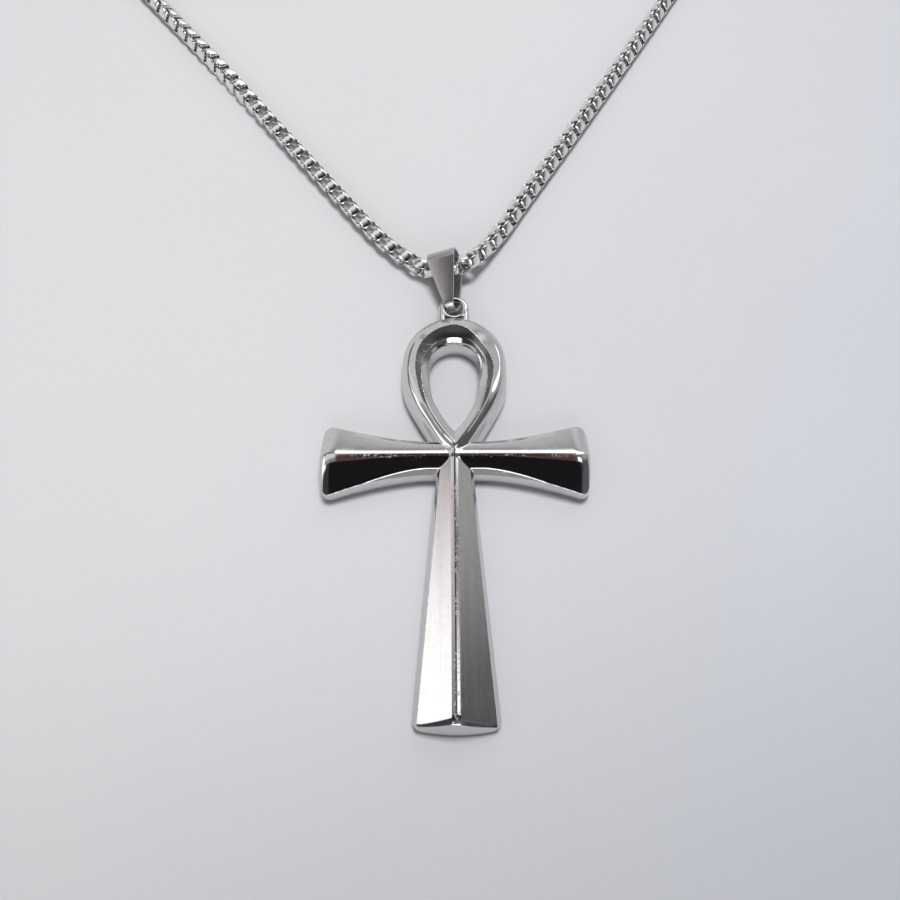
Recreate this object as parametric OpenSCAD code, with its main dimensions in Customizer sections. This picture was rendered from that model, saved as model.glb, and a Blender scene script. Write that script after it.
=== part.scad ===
// Ankh pendant on a round box chain, lying flat on its back.
// Frame: +X along the right arm, +Y along the loop, +Z out of the face, the
// origin on the flat back under the crossing of the ridges. Millimetres.

/* [Cross] */
// Span of the two arms, tip to tip
arm_span = 39; // [34:0.5:46]
// Width of the arms where they meet the stem
arm_neck_w = 5.3; // [4.6:0.1:7]
// Width that the flare reaches at the tips, before the corners are rounded
arm_flare_w = 12.5; // [10:0.1:15]
// Distance from the centre at which the flare begins
flare_start = 4; // [3:0.5:6]
// How sharply the flare curves: 1 is a straight taper
flare_power = 1.56; // [1.2:0.01:1.9]
// Length of the stem from the crossing to the foot
stem_len = 39.65; // [34:0.05:44]
// Width of the stem at the crossing
stem_top_w = 4.9; // [4:0.1:6]
// Width that the stem's taper reaches at the foot
stem_foot_w = 11.95; // [9:0.05:14]
// Height of the ridges over the flat back
ridge_h = 4.4; // [3.6:0.1:5.5]
// Height of the side walls beside the crossing
neck_wall_h = 2.7; // [2:0.05:3.2]
// Height of the side walls at the arms' tips and at the foot
tip_wall_h = 2.15; // [1.4:0.05:2.6]
// Width of the worn flat along the arms' ridge
arm_ridge_w = 0.5; // [0.3:0.1:1.2]
// Width of the worn flat along the stem's ridge
stem_ridge_w = 0.95; // [0.3:0.05:1.4]
// Radius of the corners of the arms, seen from above
arm_corner_r = 1.5; // [0.8:0.1:2.2]
// Radius of the corners of the foot, seen from above
foot_corner_r = 1.4; // [0.8:0.1:2.2]
// How far the arms' end edges bow outward
arm_bow = 0.3; // [0.1:0.05:0.8]
// How far the foot's edge bows outward
foot_bow = 0.45; // [0.1:0.05:0.8]
// Length over which the arms' ridge rolls down to the end wall
arm_roll = 2.4; // [1:0.1:3.5]
// Length over which the stem's ridge rolls down to the foot's wall
foot_roll = 1.8; // [0.8:0.1:3]
// Height of the end walls under the ridges
end_wall_h = 2.6; // [2:0.1:3.2]
// How far past the crossing the stem's ridge runs, to the loop's lower point
apex_y = 0.9; // [0.6:0.1:1.8]

/* [Loop] */
// Outer width of the loop at its widest
loop_w = 15.85; // [13:0.1:18]
// Width of the drop-shaped opening
opening_w = 7.8; // [6:0.1:9.5]
// Distance from the crossing to the middle of the loop's widest part
loop_y = 15; // [14:0.1:16.5]
// Height of the loop's outer wall
loop_wall_h = 2.4; // [1.6:0.1:2.8]
// Height of the wall round the opening
opening_wall_h = 3; // [2.2:0.05:3.3]
// Height of the crown of the loop's band
crown_h = 4.1; // [3.7:0.05:4.4]

/* [Eye] */
// Thickness of the round wire of the soldered eye
eye_wire = 1.1; // [0.8:0.05:1.15]
// Clear diameter of the eye
eye_hole_w = 2.6; // [2.55:0.05:3.2]
// Distance from the crossing to the centre of the eye
eye_y = 27.15; // [27:0.05:27.6]
// Height of the middle of the eye's wire
eye_z = 1.75; // [1.65:0.05:1.8]
// Sideways place of the eye
eye_x = 0; // [-0.1:0.05:0.1]

/* [Bail] */
// Thickness of the folded strip
strip_t = 0.44; // [0.3:0.02:0.6]
// Width of the strip at the narrow end, in the eye
strip_tip_w = 1.3; // [1.1:0.05:1.4]
// Width of the strip at the fold round the chain
strip_fold_w = 4.5; // [3.6:0.1:4.8]
// Bend radius at the narrow end, at the middle of the strip
tip_bend_r = 1.45; // [1.4:0.05:1.6]
// Bend radius of the fold round the chain, at the middle of the strip
fold_bend_r = 2.22; // [2.2:0.02:2.6]
// Distance between the centres of the two bends
bend_gap = 6.5; // [6.4:0.05:8]
// Distance from the crossing to the narrow end's middle line
bail_y = 27.32; // [27.2:0.02:27.4]
// Turn of the bail on the surface, seen from above
bail_turn = 5.5; // [4:0.5:7]
// Roll of the bail onto its left edges
bail_roll = 19; // [17:0.5:20]
// Sideways place of the narrow end at the surface
bail_x = 0.18; // [0.16:0.01:0.22]

/* [Chain] */
// Outer diameter of the chain
chain_d = 2.6; // [2:0.1:2.6]
// Gap between pieces that meet
fit_gap = 0.15; // [0.1:0.05:0.3]

/* [Clasp] */
// Outer diameter of the barrel clasp
clasp_d = 4.4; // [4.2:0.1:6]
// Length of the barrel clasp
clasp_len = 13; // [10:0.5:18]
// Depth of the cups that take the chain's ends
cup_depth = 3; // [2:0.5:4.5]
// Width of the groove round the middle of the barrel
groove_w = 0.5; // [0.3:0.1:1]

/* [Hidden] */

eps = 0.01;
curve_fn = 48;

// Steps along a limb's edge, round a corner and along the bowed end
edge_steps = 12;
corner_steps = 5;
bow_steps = 3;
// Half width of the end's last flat strip, as a share of the end's half width
last_share = 0.2;
// How much the rolled end falls from its middle to its sides
side_fall = 0.06;

// Stations in each stretch between two rows of the table
ray_steps = 3;

// Rows: ray angle from the top, then lengths along the ray as shares: of half
// the opening's width to the opening's edge and to the rim's outer line, and
// of half the loop's width to the crease and to the outer edge; last comes the
// crease's height as a share of the ridge's
loop_rows = [
    [  0, 1.179, 1.449, 1.224, 1.274, 0.700],
    [ 30, 1.141, 1.436, 1.173, 1.230, 0.735],
    [ 60, 1.056, 1.360, 0.990, 1.095, 0.820],
    [ 90, 0.995, 1.310, 0.917, 1.000, 0.865],
    [115, 1.072, 1.395, 0.951, 1.063, 0.875],
    [135, 1.305, 1.670, 1.062, 1.163, 0.890],
    [150, 1.662, 2.015, 1.200, 1.312, 0.910],
    [162, 1.982, 2.400, 1.377, 1.527, 0.935],
    [172, 2.400, 2.810, 1.610, 1.830, 0.970],
    [180, 2.803, 3.280, 1.784, 2.260, 1.000]
];
// Across the band, from the crease to the rim: place of the crown; and the
// rim's height as a share of the crown's
crown_at = 0.45;
rim_share = 0.92;

// Middle line of the chain, from its end in the clasp, down the left strand,
// through the bail and up the right strand to its other end in the clasp
chain_r = chain_d / 2;
clasp_x = -9;
clasp_y = 263;
cup_floor_x = clasp_len / 2 - cup_depth + fit_gap;
rest_z = chain_r + 0.06;
route = [
    [clasp_x - cup_floor_x, clasp_y, clasp_d / 2],
    [clasp_x - clasp_len / 2 - 2, clasp_y, clasp_d / 2],
    [clasp_x - 15, clasp_y - 0.6, 1.75],
    [clasp_x - 24, clasp_y - 3.5, rest_z],
    [clasp_x - 48, clasp_y - 14, rest_z],
    [-78, 230, rest_z],
    [-91, 205, rest_z],
    [-95, 178, rest_z],
    [-90, 151, rest_z],
    [-77, 127, rest_z],
    [-56.4, 100.2, rest_z],
    [-42, 81.6, rest_z],
    [-29.6, 65, rest_z],
    [-18.1, 49.7, rest_z],
    [-12.6, 42.6, rest_z],
    [-9.7, 39.4, 1.4],
    [-7.2, 37.2, 1.6],
    [-4.7, 35.25, 2],
    [-1.6, 34.9, 2.65],
    [1.4, 35, 3.35],
    [3.7, 37.2, 2.7],
    [6, 40.5, 1.75],
    [8.6, 44.6, rest_z],
    [11.2, 49.2, rest_z],
    [21.7, 66.9, rest_z],
    [33.4, 87, rest_z],
    [40.8, 100, rest_z],
    [53, 122, rest_z],
    [64, 146, rest_z],
    [70, 171, rest_z],
    [69, 198, rest_z],
    [60, 224, rest_z],
    [clasp_x + 50, clasp_y - 17, rest_z],
    [clasp_x + 26, clasp_y - 4.5, rest_z],
    [clasp_x + 16, clasp_y - 1, 1.75],
    [clasp_x + clasp_len / 2 + 2, clasp_y, clasp_d / 2],
    [clasp_x + cup_floor_x, clasp_y, clasp_d / 2]
];
chain_sides = 8;
// Stations round each bend of the bail
bend_steps = 10;

// Shared functions

function mix(a, b, t) = a + (b - a) * t;

// A point on the smooth curve through rows b and c, with neighbours a and d
function through(a, b, c, d, t) =
    b + 0.5 * t * (c - a + t * (2 * a - 5 * b + 4 * c - d + t * (3 * (b - c) + d - a)));

// All points of the smooth curve through a list, n steps to each stretch
function smooth_rows(p, before, after, n) = concat(
    [for (i = [0 : len(p) - 2], k = [0 : n - 1])
        through(i > 0 ? p[i - 1] : before, p[i], p[i + 1],
            i < len(p) - 2 ? p[i + 2] : after, k / n)],
    [p[len(p) - 1]]);

// Side faces of a tube of rows of m points each; closed joins last to first
function ring_faces(rows, m, closed) = [
    for (i = [0 : rows - (closed ? 1 : 2)], k = [0 : m - 1], half = [0, 1])
        let (j = (i + 1) % rows, l = (k + 1) % m,
            a = i * m + k, b = i * m + l, c = j * m + l, d = j * m + k)
        half == 0 ? [a, b, c] : [a, c, d]
];

// The two end faces of such a tube
function end_faces(rows, m) = [
    [for (k = [m - 1 : -1 : 0]) k],
    [for (k = [0 : m - 1]) (rows - 1) * m + k]
];

// The cross: two arms and a stem under roofs that share one ridge height

// Half width of an arm and of the stem at a distance from the crossing
function arm_half_w(x) = mix(arm_neck_w, arm_flare_w,
    pow(max(0, x - flare_start) / (arm_span / 2 - flare_start), flare_power)) / 2;
function stem_half_w(x) = mix(stem_top_w, stem_foot_w, x / stem_len) / 2;

// Outline of a limb along +X, as [distance, half width]: the edge, a rounded
// corner and the bowed end
function limb_outline(length, half_w, r, bow, start) =
    let (slope = atan((half_w(length) - half_w(length - r)) / r),
        turn = 90 + slope,
        edge_x = length - bow - r + r * cos(turn),
        cx = length - bow - r,
        cy = half_w(edge_x) - r * sin(turn))
    concat(
        [for (i = [0 : edge_steps]) let (x = mix(start, edge_x, i / edge_steps)) [x, half_w(x)]],
        [for (i = [1 : corner_steps]) let (a = turn * (1 - i / corner_steps))
            [cx + r * cos(a), cy + r * sin(a)]],
        [for (i = [1 : bow_steps]) let (u = mix(1, last_share, i / bow_steps))
            [length - bow * (u * u - last_share * last_share), cy * u]]);

// Section of a limb: walls, then a roof that rises to the ridge and is cut off
// lower where the end rolls down
function limb_section(x, w, length, half_w, flat_w, roll) =
    let (wall = mix(neck_wall_h, tip_wall_h, max(0, x) / length),
        drop = (ridge_h - wall) / (half_w(x) - flat_w / 2),
        past = max(0, x - length + roll) / roll,
        cut = end_wall_h + (ridge_h - end_wall_h) * sqrt(max(0, 1 - past * past)),
        top_w = min(w * 0.97, flat_w / 2 + (ridge_h - cut) / drop),
        edge = min(cut - side_fall, ridge_h - drop * (w - flat_w / 2)),
        top = min(cut, ridge_h - drop * (top_w - flat_w / 2)))
    [[x, w, 0], [x, -w, 0], [x, -w, edge], [x, -top_w, top], [x, top_w, top], [x, w, edge]];

// One limb along +X from its start to its end
module limb(length, half_w, r, bow, start, flat_w, roll) {
    outline = limb_outline(length, half_w, r, bow, start);
    n = len(outline);
    points = [for (o = outline, p = limb_section(o[0], o[1], length, half_w, flat_w, roll)) p];
    polyhedron(points, concat(ring_faces(n, 6, false), end_faces(n, 6)));
}

module arm() {
    limb(arm_span / 2, function (x) arm_half_w(x), arm_corner_r, arm_bow, 0,
        arm_ridge_w, arm_roll);
}

module stem() {
    rotate(-90) limb(stem_len, function (x) stem_half_w(x), foot_corner_r, foot_bow, -apex_y,
        stem_ridge_w, foot_roll);
}

// The loop

// Section of the loop on one ray, from the opening's foot over the band and
// down the outer wall, as [distance along the ray, height]
function loop_section(row) =
    let (open = row[1] * opening_w / 2, rim = row[2] * opening_w / 2,
        crease = row[3] * loop_w / 2, outer = row[4] * loop_w / 2,
        top = row[5] * ridge_h, crown = max(crown_h, top))
    [
        [open, 0],
        [open, opening_wall_h],
        [rim, crown * rim_share],
        [mix(crease, rim, crown_at), crown],
        [mix(crease, rim, crown_at / 2), mix(top, crown, 0.75)],
        [crease, top],
        [outer, loop_wall_h],
        [outer, 0]
    ];

module loop_band() {
    first = loop_rows[1];
    last = len(loop_rows) - 1;
    half = smooth_rows(loop_rows, [-first[0], first[1], first[2], first[3], first[4], first[5]],
        2 * loop_rows[last] - loop_rows[last - 1], ray_steps);
    n = len(half);
    // Down the right side, then up the left side back to the top
    rows = concat(half, [for (i = [n - 2 : -1 : 1])
        [360 - half[i][0], half[i][1], half[i][2], half[i][3], half[i][4], half[i][5]]]);
    m = len(loop_section(rows[0]));
    points = [for (row = rows, p = loop_section(row))
        [p[0] * sin(row[0]), loop_y + p[0] * cos(row[0]), p[1]]];
    polyhedron(points, ring_faces(len(rows), m, true));
}

// A ring of round wire, its two sides run on as legs let into the loop's top
module eye() {
    bend_r = (eye_hole_w + eye_wire) / 2;
    leg = eye_y - loop_y - loop_rows[0][4] * loop_w / 2 + eye_wire;
    translate([eye_x, eye_y, eye_z]) {
        rotate_extrude($fn = curve_fn) translate([bend_r, 0]) circle(d = eye_wire, $fn = curve_fn);
        for (side = [-1, 1]) translate([side * bend_r, 0, 0]) rotate([90, 0, 0])
            cylinder(d = eye_wire, h = leg, $fn = curve_fn);
    }
}

module ankh() {
    color([0.74, 0.74, 0.76]) {
        arm();
        mirror([1, 0, 0]) arm();
        stem();
        loop_band();
        eye();
    }
}

// The bail

// The strip's side view is a belt round two bends. Way is one station of it:
// the bend's centre along and up, the bend's radius and the angle
function strip_w(u, fold_u) = mix(strip_tip_w, strip_fold_w, min(1, u / fold_u));
function strip_point(way, off, side, fold_u) =
    let (r = way[2] + off, mid_u = way[0] + way[2] * cos(way[3]))
    [side * strip_w(mid_u, fold_u) / 2, way[0] + r * cos(way[3]), way[1] + r * sin(way[3])];

// It lies rolled over, with its lower left edge on the surface all along
module bail() {
    rise = asin((fold_bend_r - tip_bend_r) / bend_gap);
    fold_u = tip_bend_r + bend_gap * cos(rise);
    ways = concat(
        [for (i = [0 : bend_steps]) [tip_bend_r, tip_bend_r + strip_t / 2, tip_bend_r,
            mix(90 + 2 * rise, 270, i / bend_steps)]],
        [for (i = [0 : bend_steps]) [fold_u, fold_bend_r + strip_t / 2, fold_bend_r,
            mix(270, 450 + 2 * rise, i / bend_steps)]]);
    points = [for (way = ways, c = [[1, 1], [-1, 1], [-1, -1], [1, -1]])
        strip_point(way, c[0] * strip_t / 2, c[1], fold_u)];
    low = sin(bail_roll) / 2;
    pitch = atan(low * (strip_w(fold_u, fold_u) - strip_w(tip_bend_r, fold_u)) / (fold_u - tip_bend_r));
    lift = low * strip_w(tip_bend_r, fold_u) * cos(pitch) - tip_bend_r * sin(pitch) + eps;
    color([0.66, 0.65, 0.64])
        translate([bail_x, bail_y, lift]) rotate(bail_turn) rotate([pitch, 0, 0]) rotate([0, -bail_roll, 0])
            polyhedron(points, ring_faces(len(ways), 4, true));
}

// The chain

// A round tube along the route stands for the links, which interlock
module chain() {
    last = len(route) - 1;
    line = smooth_rows(route, 2 * route[0] - route[1], 2 * route[last] - route[last - 1], 2);
    n = len(line);
    points = [for (i = [0 : n - 1], k = [0 : chain_sides - 1])
        let (t = line[min(n - 1, i + 1)] - line[max(0, i - 1)],
            along = t / norm(t),
            side = [along[1], -along[0], 0] / norm([along[0], along[1]]),
            up = cross(side, along),
            a = 360 * k / chain_sides)
        line[i] + chain_r * (cos(a) * side + sin(a) * up)];
    color([0.7, 0.7, 0.71])
        polyhedron(points, concat(ring_faces(n, chain_sides, false), end_faces(n, chain_sides)));
}

// The clasp

// A barrel with a cup at each end for the chain and a groove round its middle
module clasp() {
    r = clasp_d / 2;
    soft = r / 3;
    cup_r = chain_r + fit_gap;
    half = [
        [0, 0], [r - groove_w / 2, 0], [r - groove_w / 2, groove_w / 2], [r, groove_w / 2],
        [r, clasp_len / 2 - soft], [r - soft / 3, clasp_len / 2 - soft / 3],
        [r - soft / 2, clasp_len / 2], [cup_r, clasp_len / 2], [cup_r, clasp_len / 2 - cup_depth],
        [0, clasp_len / 2 - cup_depth]
    ];
    color([0.72, 0.72, 0.73])
        translate([clasp_x, clasp_y, r]) rotate([0, 90, 0])
            rotate_extrude($fn = curve_fn)
                polygon(concat([for (i = [len(half) - 1 : -1 : 2]) [half[i][0], -half[i][1]]],
                    [for (i = [2 : len(half) - 1]) half[i]]));
}

ankh();
bail();
chain();
clasp();
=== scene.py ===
import math

import bpy
import numpy as np
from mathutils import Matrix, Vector


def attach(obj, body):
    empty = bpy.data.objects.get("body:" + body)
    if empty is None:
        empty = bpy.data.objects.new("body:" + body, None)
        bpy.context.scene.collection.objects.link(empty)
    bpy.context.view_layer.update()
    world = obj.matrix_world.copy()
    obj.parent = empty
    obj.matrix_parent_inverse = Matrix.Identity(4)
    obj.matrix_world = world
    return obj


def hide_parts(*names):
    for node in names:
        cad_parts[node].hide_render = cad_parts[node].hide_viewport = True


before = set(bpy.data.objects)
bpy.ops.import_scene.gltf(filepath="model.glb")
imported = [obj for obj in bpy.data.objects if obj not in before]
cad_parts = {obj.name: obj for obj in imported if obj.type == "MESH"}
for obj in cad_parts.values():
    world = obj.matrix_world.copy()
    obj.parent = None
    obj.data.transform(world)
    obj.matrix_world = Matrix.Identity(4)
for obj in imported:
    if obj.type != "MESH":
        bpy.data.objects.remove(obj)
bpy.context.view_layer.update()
MM = 0.001


# Fields (mm)
# a field is below 0 inside its shape, 0 on the skin, and near the skin about the distance to it
def rmax(a, b, r):
    """The inside of both a and b, with a round edge of radius r."""
    u, v = np.maximum(a + r, 0.0), np.maximum(b + r, 0.0)
    return np.minimum(np.maximum(a, b), -r) + np.sqrt(u * u + v * v)


def rmin(a, b, r):
    """a or b, with a fillet of radius r where they meet."""
    return -rmax(-a, -b, r)


def ramp(s, r):
    """0 below 0 and s above it, turning over a width of about r."""
    return 0.5 * (s + np.sqrt(s * s + r * r))


def ramp_slope(s, r):
    return 0.5 * (1 + s / np.sqrt(s * s + r * r))


def mix(a, b, t):
    return a + (b - a) * t


def cubic(xs, ys, x, start=None):
    """The smooth curve through (xs, ys); start is its slope at the first point."""
    n = len(xs)
    h = np.diff(xs)
    a = np.zeros((n, n))
    b = np.zeros((n, ys.shape[1]))
    for i in range(1, n - 1):
        a[i, i - 1 : i + 2] = h[i - 1], 2 * (h[i - 1] + h[i]), h[i]
        b[i] = 6 * ((ys[i + 1] - ys[i]) / h[i] - (ys[i] - ys[i - 1]) / h[i - 1])
    a[-1, -1] = 1
    a[0, 0] = 1
    if start is not None:
        a[0, :2] = 2 * h[0], h[0]
        b[0] = 6 * ((ys[1] - ys[0]) / h[0] - start)
    m = np.linalg.solve(a, b)
    i = np.clip(np.searchsorted(xs, x, "right") - 1, 0, n - 2)
    t, w = (x - xs[i])[:, None], h[i][:, None]
    return (
        m[i] * (w - t) ** 3 / (6 * w)
        + m[i + 1] * t**3 / (6 * w)
        + (ys[i] / w - m[i] * w / 6) * (w - t)
        + (ys[i + 1] / w - m[i + 1] * w / 6) * t
    )


# Sizes that the limbs share
RIDGE = 4.4  # height of the ridges
BACK_EDGE, LOOP_BACK_EDGE = 0.8, 0.5  # rounding of the back edges
FILLET, EYE_FILLET = 0.12, 0.25  # where the limbs and the loop meet, and where the eye does
CRISP = 0.04  # width over which a facet turns into the next
LEAST = 1e-12  # keeps a length that something is divided by above 0

# Sizes of the arms; a pair holds the values at the crossing and at the end
ARM_L, ARM_NECK, ARM_FLARE = 19.5, 2.65, 6.25  # length, half width at the crossing and at the end
ARM_START, ARM_POW = 4.0, 1.56  # where the flare begins, and its power
ARM_BOW, ARM_BOW_AT = 0.3, 5.0  # how far the end bows back, this far from its middle
ARM_CORNER, ARM_EDGE = 1.5, 0.1  # rounding of the corners and of the top's edges
ARM_DROOP = (2.6, 1.1)  # the end rolls down over this length, by this much
DROOP_MOST = 0.98  # share of the roll's length that is used, as its last bit would be upright
CREST_UP, CREST_Y, CREST_SOFT = 0.05, 0.05, 0.2  # the crest's height over RIDGE, place and softness
CREST_REACH, CREST_ROLL = (0.5, 1.7), (0.6, 1.1)  # how far it reaches to the near side, and its roll
FAR_SLOPE, NEAR_EAVE, FAR_EAVE = (0.43, 0.4), (3.5, 2.2), (3.1, 2.1)  # eaves: heights of the sides
FAR_STRIP = 0.7  # width of the far side's steeper edge
SHOULDER, SHOULDER_SLOPE = 0.68, 1.42  # width and slope of the near side's shoulder at the crossing
SHOULDER_FADE = 1.9  # how fast the shoulder narrows with the flare

# Sizes of the stem; a pair holds the values at the crossing and at the foot
STEM_L, STEM_TOP, STEM_FOOT = 39.65, 2.45, 5.975  # length, half width at the crossing and the foot
STEM_BOW, STEM_BOW_AT = 0.45, 4.6  # how far the foot bows back, this far from its middle
STEM_CORNER, STEM_EDGE = 1.4, 0.12  # rounding of the foot's corners and of the top's edges
STEM_IN, STEM_IN_EDGE = 0.9, 0.3  # how far it goes past the arms' ridge, and its rounding there
STEM_SLOPE, FOOT_LEAN = 0.45, 0.16  # the top's mean slope, and the lean of the foot's end
# the ridge's strips, the left one flatter: side, where the slope changes, by how much, how softly
STEM_RIDGE = (
    (1, -0.03, 0.22, 0.04),
    (1, 0.52, 0.28, 0.015),
    (-1, 0.03, 0.12, 0.04),
    (-1, 0.66, 0.38, 0.015),
)
STEM_RIM, STEM_RIM_SOFT = (0.45, 0.65), 0.03  # width and softness of the steep rim
FACET, FACET_SOFT = 1.5, 0.3  # length of the foot's facet at the ridge, and its softness
FACET_LESS, FACET_LESS_AT = 0.8, 4.5  # how much shorter it is, this far from the ridge
FACET_SLOPES = (0.62, 0.85)  # on the left and on the right
FACET_TURN, FACET_TURN_W = 0.5, 1.5  # where one slope begins to turn into the other, over this

# Sizes of the eye
EYE_Y, EYE_Z, EYE_R, EYE_WIRE = 27.15, 1.75, 1.78, 0.63  # centre, radius, and the wire's radius
LEG_X, LEG_R, LEG_FROM = 1.8, 0.6, 23.8  # the legs' distance from the middle, radius and start

# Sizes of the loop
LOOP_Y = 15.0  # the loop's centre
WALL_TOP = 2.4  # where the loop's outer wall ends
LOOP_EDGE, OPENING_EDGE = 0.35, 0.12  # rounding of the loop's outer and inner edge
# how far polishing moved the flat top's outer edge, in on the right and out on the left, and
# over what distance one turns into the other
UNEVEN, UNEVEN_REACH = 0.4, 1.5
# how softly each band begins; the first has none before it
LOOP_SOFT = (0, 0.02, 0.02, 0.012, 0.012, 0.1, 0.3)
BANDS = len(LOOP_SOFT)
# above the opening the rim's outer edge is soft, and between these angles it becomes crisp
MELT_DEG, MELT_SOFT = (20, 50), (0.12, 0.02)
# angle from the top; then r, z of the opening's edge, the rim's inner and outer edge, the flat
# top's outer edge, the valley, the end of the flange's flat and its shoulder; then the wall's r
LOOP = np.array(
    [
        [0, 4.68, 2.9, 5.0, 3.4, 5.64, 4.07, 7.72, 4.17, 9.30, 3.50, 9.60, 3.33, 9.85, 3.05, 10.10],
        [30, 4.50, 3.10, 4.78, 3.52, 5.22, 4.02, 6.86, 4.14, 8.50, 3.41, 8.80, 3.25, 9.25, 3.00, 9.75],
        [60, 4.14, 3.42, 4.42, 3.60, 4.92, 4.05, 6.10, 4.13, 7.45, 3.20, 7.50, 3.19, 7.90, 3.00, 8.68],
        [90, 3.90, 3.38, 4.15, 3.50, 4.93, 4.12, 5.90, 4.15, 6.75, 3.41, 7.00, 3.35, 7.35, 3.15, 7.93],
        [120, 4.30, 3.31, 4.50, 3.43, 5.60, 4.15, 6.30, 4.18, 6.62, 3.80, 7.20, 3.70, 7.75, 3.40, 8.60],
        [135, 5.02, 3.37, 5.22, 3.49, 6.48, 4.18, 7.08, 4.20, 7.32, 3.99, 7.85, 3.86, 8.45, 3.50, 9.22],
        [150, 6.35, 3.51, 6.58, 3.63, 7.80, 4.20, 8.20, 4.22, 8.42, 4.03, 9.00, 3.88, 9.60, 3.52, 10.40],
        [162, 7.70, 3.54, 7.95, 3.66, 9.35, 4.25, 9.75, 4.27, 9.97, 4.08, 10.60, 3.93, 11.20, 3.60, 12.10],
        [172, 9.33, 3.57, 9.6, 3.69, 11.2, 4.3, 11.65, 4.32, 11.90, 4.17, 12.60, 4.00, 13.20, 3.75, 14.50],
        [180, 10.9, 3.55, 11.2, 3.67, 13.0, 4.35, 13.45, 4.38, 13.75, 4.3, 14.3, 4.2, 14.9, 4.0, 17.91],
    ]
)
LOOP = np.column_stack([LOOP, np.full(len(LOOP), WALL_TOP)])
ROW_STEP = 0.25  # degrees between the curve's points
row_deg = np.arange(0, 180 + ROW_STEP / 2, ROW_STEP)
rows = cubic(LOOP[:, 0], LOOP[:, 1:], row_deg, start=0.0)
row_lean = np.gradient(rows, math.radians(ROW_STEP), axis=0)
# the cosines by which the opening's wall and the outer wall lean against the radius
cos_in, cos_out = [1 / np.sqrt(1 + (row_lean[:, i] / rows[:, i]) ** 2) for i in (0, 2 * BANDS)]


def droop(u, length, reach, depth):
    """How far a limb's top sinks towards its end."""
    p = np.clip((u - length + reach) / reach, 0, DROOP_MOST)
    return depth * (1 - np.sqrt(1 - p * p))


def arms(x, y, z):
    u = np.abs(x)
    past = np.maximum(u - ARM_START, 0) / (ARM_L - ARM_START)
    w = mix(ARM_NECK, ARM_FLARE, past**ARM_POW)
    dw = (ARM_FLARE - ARM_NECK) * ARM_POW * past ** (ARM_POW - 1) / (ARM_L - ARM_START)
    side = (np.abs(y) - w) / np.sqrt(1 + dw * dw)
    end = u - (ARM_L - ARM_BOW * (y / ARM_BOW_AT) ** 2)
    plan = rmax(side, end, ARM_CORNER)
    flare = (w - ARM_NECK) / (ARM_FLARE - ARM_NECK)
    crest = RIDGE + CREST_UP
    far = mix(*FAR_SLOPE, flare)
    start, roll = mix(*CREST_REACH, flare), mix(*CREST_ROLL, flare)
    # towards the crossing the near side has a steeper shoulder
    shoulder = SHOULDER * np.clip(1 - SHOULDER_FADE * flare, 0, 1)
    near = (crest - mix(*NEAR_EAVE, flare)) / ramp(w - shoulder - start, roll)
    far_more = np.maximum(crest - far * (w - CREST_Y) - mix(*FAR_EAVE, flare), 0) / FAR_STRIP
    roof = crest - far * ramp(y - CREST_Y, CREST_SOFT) - near * ramp(-y - start, roll)
    roof = roof - far_more * ramp(y - (w - FAR_STRIP), CRISP)
    roof = roof - (SHOULDER_SLOPE - near) * ramp(-y - w + shoulder, CRISP)
    top = (z - roof + droop(u, ARM_L, *ARM_DROOP)) / math.hypot(1, FAR_SLOPE[1])
    return rmax(rmax(plan, top, ARM_EDGE), -z, BACK_EDGE)


def stem(x, y, z):
    u, v = -y, np.abs(x)
    dw = (STEM_FOOT - STEM_TOP) / STEM_L
    side = (v - (STEM_TOP + dw * u)) / math.hypot(1, dw)
    end = u - (STEM_L - STEM_BOW * (x / STEM_BOW_AT) ** 2)
    plan = rmax(side, end, STEM_CORNER)
    plan = rmax(plan, -u - STEM_IN, STEM_IN_EDGE)
    roof = RIDGE
    for hand, at, more, soft in STEM_RIDGE:
        roof = roof - more * ramp(hand * x - at, soft)
    rim = mix(*STEM_RIM, np.clip(u / STEM_L, 0, 1))
    roof = roof - ramp(v - STEM_TOP - dw * u + rim, STEM_RIM_SOFT)
    # the foot's facet, steeper on the right, starts further up at the ridge
    start = end + FACET - FACET_LESS * np.minimum(v / FACET_LESS_AT, 1)
    steep = mix(*FACET_SLOPES, np.clip((x - FACET_TURN) / FACET_TURN_W, 0, 1))
    top = (z - roof + steep * ramp(start, FACET_SOFT)) / math.hypot(1, STEM_SLOPE)
    foot = (end + FOOT_LEAN * z) / math.hypot(1, FOOT_LEAN)
    top = rmax(top, foot, CRISP)
    return rmax(rmax(plan, top, STEM_EDGE), -z, BACK_EDGE)


def loop(x, y, z):
    deg = np.degrees(np.arctan2(np.abs(x), y - LOOP_Y))
    rho = np.hypot(x, y - LOOP_Y)
    r, h = [], []
    for i in range(BANDS + 1):
        r.append(np.interp(deg, row_deg, rows[:, 2 * i]))
        h.append(np.interp(deg, row_deg, rows[:, 2 * i + 1]))
    inner = (r[0] - rho) * np.interp(deg, row_deg, cos_in)
    out = (rho - r[-1]) * np.interp(deg, row_deg, cos_out)
    # hand polishing took more off one shoulder of the flat top than off the other
    shoulders = np.sin(np.radians(2 * np.minimum(deg, 90))) ** 2
    r[3] = r[3] - UNEVEN * np.tanh(x / UNEVEN_REACH) * shoulders
    soft = list(LOOP_SOFT)
    soft[2] = np.interp(deg, MELT_DEG, MELT_SOFT)
    m = [(h[i + 1] - h[i]) / (r[i + 1] - r[i]) for i in range(BANDS)]
    height = h[0] + m[0] * (rho - r[0])
    slope = m[0]
    for i in range(1, BANDS):
        height = height + (m[i] - m[i - 1]) * ramp(rho - r[i], soft[i])
        slope = slope + (m[i] - m[i - 1]) * ramp_slope(rho - r[i], soft[i])
    top = (z - height) / np.sqrt(1 + slope * slope)
    body = rmax(out, top, LOOP_EDGE)
    body = rmax(body, inner, OPENING_EDGE)
    return rmax(body, -z, LOOP_BACK_EDGE)


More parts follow.
